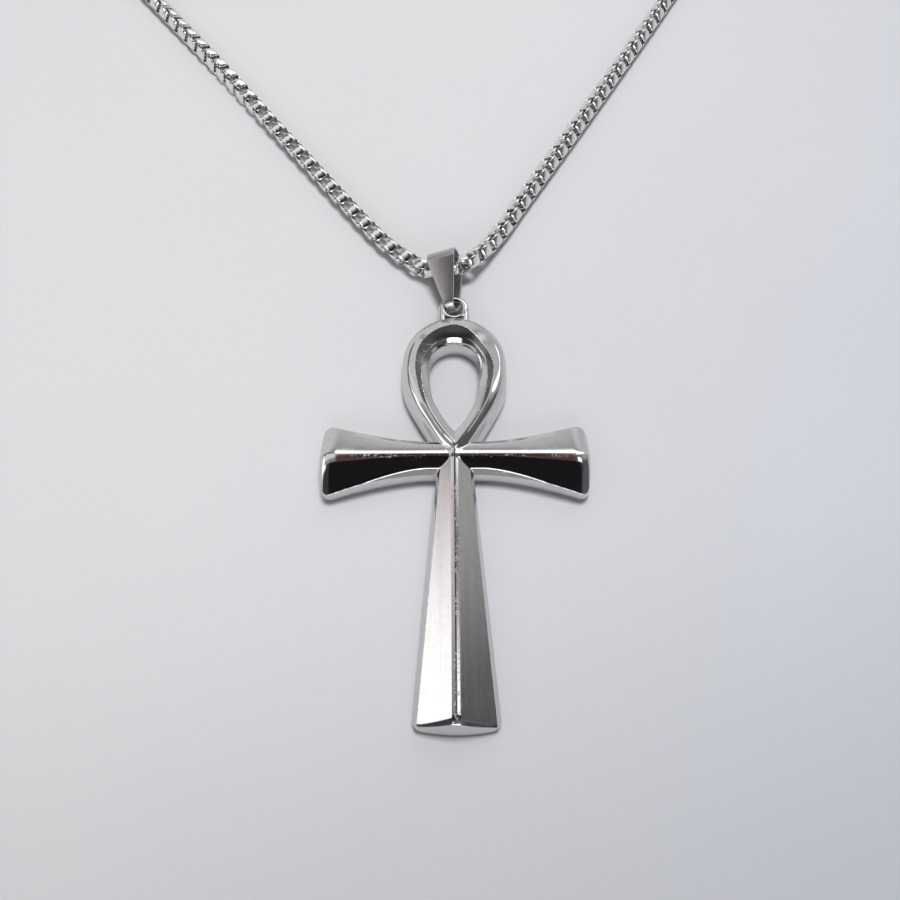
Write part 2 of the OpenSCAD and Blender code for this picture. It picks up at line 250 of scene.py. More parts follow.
def eye(x, y, z):
    ring = np.hypot(np.hypot(x, y - EYE_Y) - EYE_R, z - EYE_Z) - EYE_WIRE
    leg = np.hypot(np.abs(x) - LEG_X, z - EYE_Z) - LEG_R
    leg = np.maximum(leg, np.maximum(y - EYE_Y, LEG_FROM - y))
    return np.minimum(ring, leg)


def ankh(x, y, z):
    f = rmin(arms(x, y, z), stem(x, y, z), FILLET)
    f = rmin(f, loop(x, y, z), FILLET)
    return rmin(f, eye(x, y, z), EYE_FILLET)


# Meshing
SLOPE_REACH = 0.003  # the distance over which a field's slope is measured
ROOT_ROUNDS, ROOT_MARGIN = 4, 0.05  # search for a field's zero along an edge of the grid
PULL = 0.03  # how strongly a cell's point keeps to the middle of its crossings
CELL_SLACK = 0.1  # how far a point may leave its cell, in cells
CORNER_SHARE = 0.6  # a corner's normal is taken this far out from the quad's middle
CREASE_COS = math.cos(math.radians(7))  # corners that differ by less share one normal


def unit(v):
    return v / np.maximum(np.linalg.norm(v, axis=1, keepdims=True), LEAST)


def slope_of(field, p):
    """The direction in which field rises at each point p, as a unit vector."""
    g = np.empty_like(p)
    for a in range(3):
        d = np.zeros(3)
        d[a] = SLOPE_REACH
        g[:, a] = field(*(p + d).T) - field(*(p - d).T)
    return unit(g)


def crossings(field, f, neg, lo, step, axis):
    """The grid's edges along axis that the surface crosses: their first corners, and where."""
    b, c = [i for i in range(3) if i != axis]
    near = np.moveaxis(neg, axis, 0)
    edge = np.argwhere(near[:-1] != near[1:])
    base = np.empty_like(edge)
    base[:, axis], base[:, b], base[:, c] = edge[:, 0], edge[:, 1], edge[:, 2]
    tip = base.copy()
    tip[:, axis] += 1
    f0, f1 = f[tuple(base.T)], f[tuple(tip.T)]
    t0, t1 = np.zeros(len(f0)), np.ones(len(f0))
    start = np.array(lo) + step * base
    run = np.zeros(3)
    run[axis] = step
    for _ in range(ROOT_ROUNDS):
        margin = ROOT_MARGIN * (t1 - t0)
        t = np.clip(t0 + (t1 - t0) * f0 / (f0 - f1), t0 + margin, t1 - margin)
        ft = field(*(start + run * t[:, None]).T)
        same = (ft < 0) == (f0 < 0)
        t0, f0 = np.where(same, t, t0), np.where(same, ft, f0)
        t1, f1 = np.where(same, t1, t), np.where(same, f1, ft)
    t = t0 + (t1 - t0) * f0 / (f0 - f1)
    return base, start + run * t[:, None]


def cell_quads(neg, index):
    """A quad round each crossed edge, from the points of the four cells that share it."""
    quads = []
    for a in range(3):
        near = np.moveaxis(neg, a, 0)
        where = np.argwhere((near[:-1] != near[1:])[:, 1:-1, 1:-1])
        i, j, k = where[:, 0], where[:, 1] + 1, where[:, 2] + 1
        out = near[i, j, k]
        idx = np.moveaxis(index, a, 0)
        q = np.stack([idx[i, j - 1, k - 1], idx[i, j, k - 1], idx[i, j, k], idx[i, j - 1, k]], 1)
        flip = out if a == 1 else ~out
        q[flip] = q[flip][:, ::-1]
        quads.append(q)
    quads = np.concatenate(quads)
    return quads[(quads >= 0).all(1)]


def corner_normals(field, p, quads):
    """A normal for every corner; where all corners at a point agree, they share one."""
    middle = p[quads].mean(1, keepdims=True)
    inset = (p[quads] * CORNER_SHARE + middle * (1 - CORNER_SHARE)).reshape(-1, 3)
    corner = slope_of(field, inset)
    flat = quads.ravel()
    mean = np.zeros_like(p)
    np.add.at(mean, flat, corner)
    mean = unit(mean)
    worst = np.ones(len(p))
    np.minimum.at(worst, flat, (corner * mean[flat]).sum(1))
    return np.where((worst[flat] > CREASE_COS)[:, None], mean[flat], corner)


def skin(field, lo, hi, step):
    """Points, quads and corner normals of the surface where field is 0, with crisp creases."""
    ax = [np.arange(lo[i], hi[i] + step, step) for i in range(3)]
    f = field(ax[0][:, None, None], ax[1][None, :, None], ax[2][None, None, :])
    neg = f < 0
    n = [s - 1 for s in f.shape]
    corners = [(i, j, k) for i in (0, 1) for j in (0, 1) for k in (0, 1)]
    count = sum(neg[i : n[0] + i, j : n[1] + j, k : n[2] + k].astype(np.int8) for i, j, k in corners)
    cell = np.argwhere((count > 0) & (count < len(corners)))
    index = -np.ones(n, np.int64)
    index[tuple(cell.T)] = np.arange(len(cell))
    # each cell's point fits the planes at its crossings best
    ata, atb = np.zeros((len(cell), 3, 3)), np.zeros((len(cell), 3))
    total, hits = np.zeros((len(cell), 3)), np.zeros((len(cell), 1))
    for axis in range(3):
        b, c = [i for i in range(3) if i != axis]
        base, p = crossings(field, f, neg, lo, step, axis)
        g = slope_of(field, p)
        for i, j in ((0, 0), (0, 1), (1, 0), (1, 1)):
            at = base.copy()
            at[:, b] -= i
            at[:, c] -= j
            ok = (at >= 0).all(1) & (at < n).all(1)
            k = index[tuple(at[ok].T)]
            gk, pk = g[ok], p[ok]
            np.add.at(ata, k, gk[:, :, None] * gk[:, None, :])
            np.add.at(atb, k, gk * (gk * pk).sum(1, keepdims=True))
            np.add.at(total, k, pk)
            np.add.at(hits, k, 1)
    mass = total / hits
    rest = atb - (ata @ mass[:, :, None])[:, :, 0]
    p = mass + np.linalg.solve(ata + PULL * np.eye(3), rest[:, :, None])[:, :, 0]
    low = np.array(lo) + step * cell
    p = np.clip(p, low - CELL_SLACK * step, low + (1 + CELL_SLACK) * step)
    quads = cell_quads(neg, index)
    return p, quads, corner_normals(field, p, quads)


def mesh(name, points, faces, normals=None, smooth=True):
    """points in millimetres; faces an array of quads, or a list of faces."""
    me = bpy.data.meshes.new(name)
    points = np.asarray(points, float) * MM
    if isinstance(faces, np.ndarray):
        me.vertices.add(len(points))
        me.vertices.foreach_set("co", points.ravel())
        me.loops.add(faces.size)
        me.loops.foreach_set("vertex_index", faces.ravel().astype(np.int32))
        me.polygons.add(len(faces))
        me.polygons.foreach_set("loop_start", np.arange(len(faces), dtype=np.int32) * faces.shape[1])
        me.update(calc_edges=True)
    else:
        me.from_pydata(points.tolist(), [], faces)
    if normals is None:
        me.validate()
    me.polygons.foreach_set("use_smooth", np.full(len(me.polygons), smooth))
    if normals is not None:
        me.normals_split_custom_set(normals.tolist())
    me.update()
    ob = bpy.data.objects.new(name, me)
    bpy.context.scene.collection.objects.link(ob)
    return ob


def round_corners(steps):
    """The signs of a rectangle's corners and the angles in steps at each, all the way round."""
    corners = ((1, 1, 0), (-1, 1, 90), (-1, -1, 180), (1, -1, 270))
    return [(sx, sz, math.radians(first + step)) for sx, sz, first in corners for step in steps]


def ring_quads(n, m):
    """The quads of a closed ring of n sections, each a closed line of m points."""
    i, k = np.meshgrid(np.arange(n), np.arange(m), indexing="ij")
    j, l = (i + 1) % n, (k + 1) % m
    return np.stack([i * m + k, i * m + l, j * m + l, j * m + k], -1).reshape(-1, 4)


# Camera
CAMERA_AT, LOOK_AT = (-1.05, -76.14, 142.67), (-0.719, 2.944, 0.0)  # in millimetres
FILM, LENS = 36, 44  # in millimetres
CLIP = (0.005, 20)  # in metres
eye_at = Vector(CAMERA_AT) * MM
look_at = Vector(LOOK_AT) * MM
cam = bpy.data.objects.new("camera", bpy.data.cameras.new("camera"))
cam.data.sensor_width = FILM
cam.data.lens = LENS
cam.data.clip_start, cam.data.clip_end = CLIP
cam.location = eye_at
cam.rotation_euler = (look_at - eye_at).to_track_quat("-Z", "Y").to_euler()
bpy.context.scene.collection.objects.link(cam)
bpy.context.scene.camera = cam


# Materials
# a grain's numbers are its grains per metre along X, Y and Z, and a bump is in metres
SMUDGE_GRAIN = (160, 160, 160)
PATCH_SHARE = 0.6  # the dark patches' grains per metre, as a share of the brushing's
FINE_GRAIN, BROAD_GRAIN = (7000, 90, 7000), (1500, 40, 1500)
NICK_GRAIN, CLUSTER_GRAIN, HAIR_GRAIN = (2600, 2600, 2600), (210, 210, 210), (90, 3800, 900)
# the part of each noise's range that counts
LINE_RANGE, SMUDGE_RANGE, PATCH_RANGE = (0.35, 0.75), (0.45, 0.75), (0.3, 0.7)
FINE_RANGE, BROAD_RANGE = (0.3, 0.7), (0.35, 0.65)
NICK_RANGE, CLUSTER_RANGE, HAIR_RANGE = (0.56, 0.66), (0.42, 0.58), (0.70, 0.74)
BRUSH_BUMP, NICK_BUMP, HAIR_BUMP = 3.5e-7, -1.8e-5, -3e-6
BRUSH_ROUGH, NICK_ROUGH = 0.05, 0.25
FINE_DARK, BROAD_DARK = 0.03, 0.035
ARM_NICKS = 0.8  # how much the nicks show on the arms, as a share of the stem's
DARKEST_TONE = 0.5  # the least share of its colour that the steel darkens to
# where the wear is, in metres: the stem's brushing and the arms' nicks begin, and the nicks'
# reach from each ridge; the arms' ridge lies RIDGE_Y towards the stem
STEM_Y, ARMS_X = (-0.006, -0.004), (0.0015, 0.003)
STEM_RIDGE_X, ARM_RIDGE_Y = (0.0003, 0.0007), (0.0003, 0.0008)
RIDGE_Y = 0.0001


def nodes_of(name):
    """A new material, its node tree and its shader."""
    m = bpy.data.materials.new(name)
    m.use_nodes = True
    nt = m.node_tree
    return m, nt, nt.nodes["Principled BSDF"]


def add(nt, kind, values=None, **inputs):
    """A new node; inputs go by their name, or by i and their number."""
    n = nt.nodes.new(kind)
    for k, v in (values or {}).items():
        setattr(n, k, v)
    for k, v in inputs.items():
        key = int(k[1:]) if k[0] == "i" and k[1:].isdigit() else k.replace("_", " ")
        n.inputs[key].default_value = v
    return n


def math_node(nt, op, a, b=0.0, c=None):
    n = add(nt, "ShaderNodeMath", {"operation": op})
    for socket, v in zip(n.inputs, (a, b, c)):
        if isinstance(v, (int, float)):
            socket.default_value = v
        elif v is not None:
            nt.links.new(v, socket)
    return n.outputs[0]


def remap(nt, x, a, b, c, d, smooth=False):
    """x moved from the range a to b into the range c to d, and held there."""
    n = add(nt, "ShaderNodeMapRange", {"interpolation_type": "SMOOTHSTEP" if smooth else "LINEAR"})
    for socket, v in zip(n.inputs[1:5], (a, b, c, d)):
        socket.default_value = v
    nt.links.new(x, n.inputs[0])
    return n.outputs[0]


def noise_of(nt, pos, scale, detail=3.0, rough=0.6):
    """Noise whose grain has a size of 1/scale metres along each axis."""
    m = add(nt, "ShaderNodeMapping", Scale=scale)
    nt.links.new(pos, m.inputs["Vector"])
    n = add(nt, "ShaderNodeTexNoise", Scale=1.0, Detail=detail, Roughness=rough)
    nt.links.new(m.outputs["Vector"], n.inputs["Vector"])
    return n.outputs["Fac"]


def mix_node(nt, factor, a, b, blend="MIX"):
    """Colour a with b over it; each is a socket, or three numbers that stay as they are."""
    n = add(nt, "ShaderNodeMix", {"data_type": "RGBA", "blend_type": blend})
    for socket, v in ((n.inputs[0], factor), (n.inputs[6], a), (n.inputs[7], b)):
        if isinstance(v, tuple):
            socket.default_value = (*v, 1)
        elif isinstance(v, float):
            socket.default_value = v
        else:
            nt.links.new(v, socket)
    return n.outputs[2]


def wear(nt, pos, r, dark, height):
    """Roughness, darkness and height with the ankh's brushing, nicks and scratches."""
    xyz = add(nt, "ShaderNodeSeparateXYZ")
    nt.links.new(pos, xyz.inputs[0])
    x, y, _ = xyz.outputs
    # lengthwise brushing on the stem
    on_stem = remap(nt, y, *STEM_Y, 1, 0, True)
    fine = remap(nt, noise_of(nt, pos, FINE_GRAIN), *FINE_RANGE, -1, 1)
    fine = math_node(nt, "MULTIPLY", fine, on_stem)
    broad = remap(nt, noise_of(nt, pos, BROAD_GRAIN), *BROAD_RANGE, -1, 1)
    broad = math_node(nt, "MULTIPLY", broad, on_stem)
    r = math_node(nt, "MULTIPLY_ADD", on_stem, BRUSH_ROUGH, r)
    r = math_node(nt, "MULTIPLY_ADD", math_node(nt, "ABSOLUTE", fine), BRUSH_ROUGH, r)
    dark = math_node(nt, "MULTIPLY_ADD", fine, FINE_DARK, dark)
    dark = math_node(nt, "MULTIPLY_ADD", broad, BROAD_DARK, dark)
    height = math_node(nt, "MULTIPLY_ADD", fine, BRUSH_BUMP, height)
    # nicks in clusters along the ridges of the stem and the arms, fainter on the arms
    off_x = math_node(nt, "ABSOLUTE", x)
    off_y = math_node(nt, "ABSOLUTE", math_node(nt, "ADD", y, RIDGE_Y))
    on_arms = remap(nt, off_x, *ARMS_X, 0, 1)
    stem_ridge = remap(nt, off_x, *STEM_RIDGE_X, 1, 0, True)
    stem_ridge = math_node(nt, "MULTIPLY", stem_ridge, on_stem)
    arm_ridge = remap(nt, off_y, *ARM_RIDGE_Y, ARM_NICKS, 0, True)
    arm_ridge = math_node(nt, "MULTIPLY", arm_ridge, on_arms)
    ridge = math_node(nt, "MAXIMUM", stem_ridge, arm_ridge)
    nick = noise_of(nt, pos, NICK_GRAIN, detail=5.0, rough=0.7)
    nick = remap(nt, nick, *NICK_RANGE, 0, 1, True)
    cluster = noise_of(nt, pos, CLUSTER_GRAIN, detail=2.0)
    cluster = remap(nt, cluster, *CLUSTER_RANGE, 0, 1, True)
    nick = math_node(nt, "MULTIPLY", math_node(nt, "MULTIPLY", nick, cluster), ridge)
    height = math_node(nt, "MULTIPLY_ADD", nick, NICK_BUMP, height)
    r = math_node(nt, "MULTIPLY_ADD", nick, NICK_ROUGH, r)
    # a few hairline scratches anywhere
    hair = remap(nt, noise_of(nt, pos, HAIR_GRAIN), *HAIR_RANGE, 0, 1, True)
    height = math_node(nt, "MULTIPLY_ADD", hair, HAIR_BUMP, height)
    return r, dark, height


def steel(name, tone, rough, brush, streak, bump, shade=0.93, worn=False):
    """Steel of colour tone and least roughness rough, with smudges and brushing of grain brush.

    streak is what these add to the roughness, bump how deep the brushing is, and shade how dark.
    """
    m, nt, bsdf = nodes_of(name)
    bsdf.inputs["Metallic"].default_value = 1.0
    pos = add(nt, "ShaderNodeTexCoord").outputs["Object"]
    lines = noise_of(nt, pos, brush)
    smudge = noise_of(nt, pos, SMUDGE_GRAIN, detail=4.0)
    r = remap(nt, lines, *LINE_RANGE, rough, rough + streak)
    r = math_node(nt, "MULTIPLY_ADD", remap(nt, smudge, *SMUDGE_RANGE, 0, 1), streak, r)
    patches = noise_of(nt, pos, tuple(v * PATCH_SHARE for v in brush), detail=4.0)
    dark = remap(nt, patches, *PATCH_RANGE, shade, 1.0)
    height = math_node(nt, "MULTIPLY", lines, bump)
    if worn:
        r, dark, height = wear(nt, pos, r, dark, height)
    nt.links.new(r, bsdf.inputs["Roughness"])
    darkest = tuple(c * DARKEST_TONE for c in tone)
    tint = mix_node(nt, remap(nt, dark, DARKEST_TONE, 1.0, 0, 1), darkest, tone)
    nt.links.new(tint, bsdf.inputs["Base Color"])
    b = add(nt, "ShaderNodeBump", Strength=1.0, Distance=1.0)
    nt.links.new(height, b.inputs["Height"])
    nt.links.new(b.outputs["Normal"], bsdf.inputs["Normal"])
    return m


POLISH_GRAIN, SATIN_GRAIN, LINK_GRAIN = (2200, 2200, 2200), (9000, 300, 9000), (2000, 2000, 2000)
polished = steel("polished_steel", (0.68, 0.672, 0.672), 0.07, POLISH_GRAIN, 0.03, 3e-7, worn=True)
satin = steel("satin_steel", (0.56, 0.545, 0.535), 0.33, SATIN_GRAIN, 0.05, 5e-7, shade=0.82)
link_metal = steel("chain_steel", (0.86, 0.86, 0.85), 0.16, LINK_GRAIN, 0.05, 4e-7)


# The ankh, meshed in one go and cut at a low height, so that neither part is too fine
ANKH_LOW, ANKH_HIGH = (-19.8, -39.95, -0.16), (19.8, 29.9, 4.75)
FINE_STEP, QUICK_STEP = 0.15, 0.3
CUT_Z = 0.6
step = FINE_STEP
points, quads, normals = skin(ankh, ANKH_LOW, ANKH_HIGH, step)
corners = normals.reshape(-1, 4, 3)
low = points[quads][:, :, 2].mean(1) < CUT_Z
parts = {}
for name, keep in {"ankh_front": ~low, "ankh_back": low}.items():
    used, faces = np.unique(quads[keep], return_inverse=True)
    part = mesh(name, points[used], faces.reshape(-1, 4), corners[keep].reshape(-1, 3))
    part.data.materials.append(polished)
    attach(part, "root")
    parts[name] = part
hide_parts("ankh")


# The bail
STRIP_T, TIP_W, FOLD_W = 0.44, 1.3, 4.5  # the strip's thickness, its width at the tip and the fold
TIP_R, FOLD_R, GAP = 1.45, 2.22, 6.5  # the radii of its bends and the distance between them
BAIL_AT, TURN, ROLL = (0.18, 27.32), 5.5, 19.0  # where its tip is, its turn and its roll
STRIP_EDGE = 0.11  # rounding of the strip's edges
CREASE, CREASE_EASE = 2.42 * math.pi, 0.04  # where the fold ends, and how tight the crease is
BEND_STEPS, LEG_STEPS = 33, 14
BAIL_LIFT = 0.01  # keeps the bail clear of the floor


def straight(a, b):
    """The points between a and b, facing as a does."""
    shares = np.linspace(0, 1, LEG_STEPS)[1:-1]
    return [(mix(a[0], b[0], t), mix(a[1], b[1], t), a[2], a[3]) for t in shares]


def strip_line(fold_u, rise):
    """The strip's middle line from the side: the place along it, the height and the way it faces."""

    def on_bend(u, r, a):
        z = r + STRIP_T / 2
        return u + r * math.cos(a), z + r * math.sin(a), math.cos(a), math.sin(a)

    first, bottom, last = math.pi / 2 + 2 * rise, 1.5 * math.pi, 2.5 * math.pi + 2 * rise
    line = [on_bend(TIP_R, TIP_R, a) for a in np.linspace(first, bottom, BEND_STEPS)]
    line += straight(line[-1], on_bend(fold_u, FOLD_R, bottom))
    line += [on_bend(fold_u, FOLD_R, a) for a in np.linspace(bottom, CREASE, BEND_STEPS)]
    # the crease stands where the tangents at CREASE and at last meet
    half, middle = (last - CREASE) / 2, (last + CREASE) / 2
    z = FOLD_R + STRIP_T / 2
    cu = fold_u + FOLD_R / math.cos(half) * math.cos(middle)
    cz = z + FOLD_R / math.cos(half) * math.sin(middle)
    corner = ((CREASE_EASE, CREASE, 1), (0, middle, math.cos(half)), (-CREASE_EASE, last, 1))
    for ease, a, stretch in corner:
        across, up = math.cos(a), math.sin(a)
        line.append((cu + ease * up, cz - ease * across, across / stretch, up / stretch))
    return line + straight(line[-1], on_bend(TIP_R, TIP_R, first))


def bail_mesh():
    """The bail's points, where it lies, and its quads."""
    rise = math.asin((FOLD_R - TIP_R) / GAP)
    fold_u = TIP_R + GAP * math.cos(rise)
    line = strip_line(fold_u, rise)
    rim = round_corners((0, 22.5, 45, 67.5, 90))
    pts = []
    for u, z, nu, nz in line:
        w = mix(TIP_W, FOLD_W, min(1, u / fold_u)) / 2
        for sx, sz, a in rim:
            off = sz * (STRIP_T / 2 - STRIP_EDGE) + STRIP_EDGE * math.sin(a)
            pts.append((sx * (w - STRIP_EDGE) + STRIP_EDGE * math.cos(a), u + nu * off, z + nz * off))
    x, y, z = np.array(pts).T
    # rolled onto its left edges, pitched until both ends touch the floor, then turned
    s, c = math.sin(math.radians(ROLL)), math.cos(math.radians(ROLL))
    tip_w = mix(TIP_W, FOLD_W, TIP_R / fold_u)
    pitch = math.atan(s / 2 * (FOLD_W - tip_w) / (fold_u - TIP_R))
    lift = s / 2 * tip_w * math.cos(pitch) - TIP_R * math.sin(pitch) + BAIL_LIFT
    x, z = x * c - z * s, x * s + z * c
    y, z = y * math.cos(pitch) - z * math.sin(pitch), y * math.sin(pitch) + z * math.cos(pitch)
    t = math.radians(TURN)
    x, y = x * math.cos(t) - y * math.sin(t), x * math.sin(t) + y * math.cos(t)
    p = np.stack([x + BAIL_AT[0], y + BAIL_AT[1], z + lift], 1)
    return p, ring_quads(len(line), len(rim))


points, quads = bail_mesh()
bail = mesh("bail_strip", points, quads)
bail.data.materials.append(satin)
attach(bail, "root")
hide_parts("bail")


# The chain
CLASP = (-9.0, 263.0)
R, REST = 1.3, 1.36  # the chain's radius, and its height where it lies on the floor
IN_BAIL = [-1.6, 34.9, 2.65]  # where the route passes through the bail
ROUTE = np.array(
    [
        [CLASP[0] - 3.65, CLASP[1], 2.2],
        [CLASP[0] - 8.5, CLASP[1], 2.2],
        [CLASP[0] - 15, CLASP[1] - 0.6, 1.75],
        [CLASP[0] - 24, CLASP[1] - 3.5, REST],
        [CLASP[0] - 48, CLASP[1] - 14, REST],
        [-78, 230, REST],
        [-91, 205, REST],
        [-95, 178, REST],
        [-90, 151, REST],
        [-77, 127, REST],
        [-56.4, 100.2, REST],
        [-42, 81.6, REST],
        [-29.6, 65, REST],
        [-18.1, 49.7, REST],
        [-12.6, 42.6, REST],
        [-9.7, 39.4, 1.4],
        [-7.2, 37.2, 1.6],
        [-4.7, 35.25, 2],
        IN_BAIL,
        [1.4, 35, 3.35],
        [3.7, 37.2, 2.7],
        [6, 40.5, 1.75],
        [8.6, 44.6, REST],
        [11.2, 49.2, REST],
        [21.7, 66.9, REST],
        [33.4, 87, REST],
        [40.8, 100, REST],
        [53, 122, REST],
        [64, 146, REST],
        [70, 171, REST],
        [69, 198, REST],
        [60, 224, REST],
        [CLASP[0] + 50, CLASP[1] - 17, REST],
        [CLASP[0] + 26, CLASP[1] - 4.5, REST],
        [CLASP[0] + 16, CLASP[1] - 1, 1.75],
        [CLASP[0] + 8.5, CLASP[1], 2.2],
        [CLASP[0] + 3.65, CLASP[1], 2.2],
    ]
)
ROUTE_STEPS = 30  # points of the route between two of its points above
PITCH, END_GAP = 1.66, 0.6  # the route's length per link, and what each end leaves free
LINK_L, LINK_T, LINK_W = 2.5, 0.33, 1.78  # a link's length, thickness and width
LINK_CORNER = 0.24  # radius of a link's corners
WALL_SINE = 0.9  # a corner's points count as a long wall's where their angle's sine is above this
# a link's wire in section: shares of half its width, and mm outwards, domed on the outside
LINK_SECTION = (
    (-1, -0.08),
    (-1, 0.02),
    (-0.86, 0.09),
    (-0.5, 0.15),
    (0, 0.175),
    (0.5, 0.15),
    (0.86, 0.09),
    (1, 0.02),
    (1, -0.08),
    (0.8, -0.165),
    (-0.8, -0.165),
)
END_WIDTH, END_DOME = 0.86, 0.6  # how much narrower and flatter the wire is at a link's ends
# degrees by which the links turn round the route, by mm along it from the bail
TWIST_AT, TWIST = [-90, -65, -45, -6, 6, 40], [45, 18, -9, -15, 40, 42]
TANGENT_REACH = 0.25  # half the length over which the route's direction is measured


def smooth_line(p, n):
    """A smooth line through p, with n points for each of its spans."""
    q = np.vstack([2 * p[0] - p[1], p, 2 * p[-1] - p[-2]])
    out = []
    for i in range(1, len(q) - 2):
        a, b, c, d = q[i - 1 : i + 3]
        for t in np.arange(n) / n:
            out.append(b + 0.5 * t * (c - a + t * (2 * a - 5 * b + 4 * c - d + t * (3 * (b - c) + d - a))))
    return np.array(out + [p[-1]])


line = smooth_line(ROUTE, ROUTE_STEPS)
reach = np.concatenate([[0], np.cumsum(np.linalg.norm(np.diff(line, axis=0), axis=1))])


def on_line(s):
    """The points at the lengths s along the route."""
    return np.stack([np.interp(s, reach, line[:, i]) for i in range(3)], 1)


def link_shape():
    """One link round the origin, its length along X and its opening seen along Y."""
    half, tall = LINK_L / 2 - LINK_T / 2, R - LINK_T / 2
    rim = round_corners((0, 30, 60, 90))
    pts = []
    for sx, sz, a in rim:
        ca, sa = math.cos(a), math.sin(a)
        x = sx * (half - LINK_CORNER) + LINK_CORNER * ca
        z = sz * (tall - LINK_CORNER) + LINK_CORNER * sa
        # the two long walls are domed, so that the chain is round
        wall = abs(sa) > WALL_SINE
        for share, out in LINK_SECTION:
            y = share * (LINK_W / 2) * (1 if wall else END_WIDTH)
            rise = out * (1 if wall else END_DOME)
            pts.append((x + ca * rise, y, z + sa * rise))
    # a link's quads go round the other way than ring_quads has them
    return np.array(pts), ring_quads(len(rim), len(LINK_SECTION))[:, [0, 3, 2, 1]]


def placed(link, s, middle):
    """link at each place s along the route, every other one a quarter turn round it."""
    along = on_line(s + TANGENT_REACH) - on_line(s - TANGENT_REACH)
    along /= np.linalg.norm(along, axis=1, keepdims=True)
    side = np.stack([along[:, 1], -along[:, 0], 0 * along[:, 0]], 1)
    side /= np.linalg.norm(side, axis=1, keepdims=True)
    up = np.cross(side, along)
    twist = np.radians(np.interp(s - middle, TWIST_AT, TWIST))
    twist += np.where(np.arange(len(s)) % 2, math.pi / 2, 0)
    y_axis = np.cos(twist)[:, None] * side + np.sin(twist)[:, None] * up
    z_axis = np.cross(y_axis, along)
    return (
        on_line(s)[:, None, :]
        + link[None, :, 0:1] * along[:, None, :]
        + link[None, :, 1:2] * y_axis[:, None, :]
        + link[None, :, 2:3] * z_axis[:, None, :]
    )


one, one_faces = link_shape()
steps = int((reach[-1] - 2 * END_GAP) / PITCH)
s = END_GAP + (reach[-1] - 2 * END_GAP) / steps * np.arange(steps + 1)
middle = reach[np.argmin(np.linalg.norm(line - np.array(IN_BAIL), axis=1))]
pts = placed(one, s, middle)
parts = {"chain_left": s <= middle, "chain_right": s > middle}
for name, keep in parts.items():
    count = int(keep.sum())
    f = one_faces[None] + (np.arange(count) * len(one))[:, None, None]
    ob = mesh(name, pts[keep].reshape(-1, 3), f.reshape(-1, 4))
    ob.data.materials.append(link_metal)
    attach(ob, "root")
    parts[name] = ob
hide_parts("chain")

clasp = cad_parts["clasp"]
clasp.data.materials.clear()
clasp.data.materials.append(polished)


# Floor
FLOOR_HALF, FLOOR_Z = 3000.0, -0.02  # half its width and its height, in millimetres
FLOOR_ROUGH, FLOOR_SHINE = 0.85, 0.2
GRAIN_DARK, GRAIN_PALE = (0.376, 0.378, 0.391, 1), (0.386, 0.387, 0.399, 1)
# painted shade: the floor's colour on the fully lit left, and the darker, bluer colour it is shaded to
# towards the right and the front
LIT_SIDE_TINT, SHADED_SIDE_TINT = (1.0, 0.985, 0.985), (0.84, 0.875, 0.915)
# painted shade on the floor: its darker, bluer tint follows x + TINT_Y * y, its darkening in the near
# corners y + SHADE_X * x, each over a range in metres
TINT_Y, TINT_FROM, TINT_TO = -0.45, -0.05, 0.10
SHADE_X, SHADE_FROM, SHADE_TO, DARKEST_CORNER_SHADE = -0.15, -0.085, 0.002, 0.78
floor_m, nt, bsdf = nodes_of("floor")
bsdf.inputs["Roughness"].default_value = FLOOR_ROUGH
bsdf.inputs["Specular IOR Level"].default_value = FLOOR_SHINE
pos = add(nt, "ShaderNodeTexCoord").outputs["Object"]
grain = add(nt, "ShaderNodeTexNoise", Scale=14.0, Detail=5.0, Roughness=0.55)
nt.links.new(pos, grain.inputs["Vector"])
tone = add(nt, "ShaderNodeValToRGB")
for element, place, colour in zip(tone.color_ramp.elements, (0.35, 0.65), (GRAIN_DARK, GRAIN_PALE)):
    element.position = place
    element.color = colour
nt.links.new(grain.outputs["Fac"], tone.inputs["Fac"])
where = add(nt, "ShaderNodeSeparateXYZ")
nt.links.new(pos, where.inputs[0])
x, y, _ = where.outputs
# painted shade: darker and bluer towards the right and the front, where less light falls
floor_shade_share = remap(nt, math_node(nt, "MULTIPLY_ADD", y, TINT_Y, x), TINT_FROM, TINT_TO, 0, 1, True)
tint = mix_node(nt, floor_shade_share, LIT_SIDE_TINT, SHADED_SIDE_TINT)
shade_tinted_colour = mix_node(nt, 1.0, tone.outputs["Color"], tint, "MULTIPLY")
# and painted shade: darker in the near corners
corner_shade = math_node(nt, "MULTIPLY_ADD", x, SHADE_X, y)
corner_shade = remap(nt, corner_shade, SHADE_FROM, SHADE_TO, DARKEST_CORNER_SHADE, 1.0, True)
nt.links.new(mix_node(nt, 1.0, shade_tinted_colour, corner_shade, "MULTIPLY"), bsdf.inputs["Base Color"])
sides = ((-1, -1), (1, -1), (1, 1), (-1, 1))
floor_points = [(i * FLOOR_HALF, j * FLOOR_HALF, FLOOR_Z) for i, j in sides]
floor = mesh("floor", floor_points, [(0, 1, 2, 3)], smooth=False)
floor.data.materials.append(floor_m)


# The studio that the metal mirrors

# the room as windows: azimuth from the far side (to the right positive), half width, elevation
# from and to, softness across and up, colour
WINDOWS = [
    (180, 90, -20, 62, 20, 6, (0.05, 0.05, 0.052)),
    (-60, 95, -20, 17, 15, 5, (0.74, 0.73, 0.73)),
    (65, 45, -20, 17, 12, 5, (0.58, 0.59, 0.60)),
    (88, 45, 18, 55, 8, 8, (0.12, 0.125, 0.13)),
    (45, 20, 18, 50, 10, 8, (0.44, 0.45, 0.43)),
    (138, 22, 28, 45, 12, 8, (0.17, 0.175, 0.17)),
    (180, 40, -20, 13, 14, 5, (0.36, 0.35, 0.34)),
    (-143, 14, -10, 9, 12, 6, (0.5, 0.5, 0.47)),
    (15, 27, 20, 53, 4, 4, (2.2, 2.2, 2.2)),
    (-79, 23, 23, 50, 7, 6, (1.0, 0.92, 0.92)),
    (-81, 18, 23, 50, 9, 6, (1.7, 1.66, 1.66)),
    (180, 29, 17, 37, 14, 6, (4.0, 4.1, 4.2)),
]
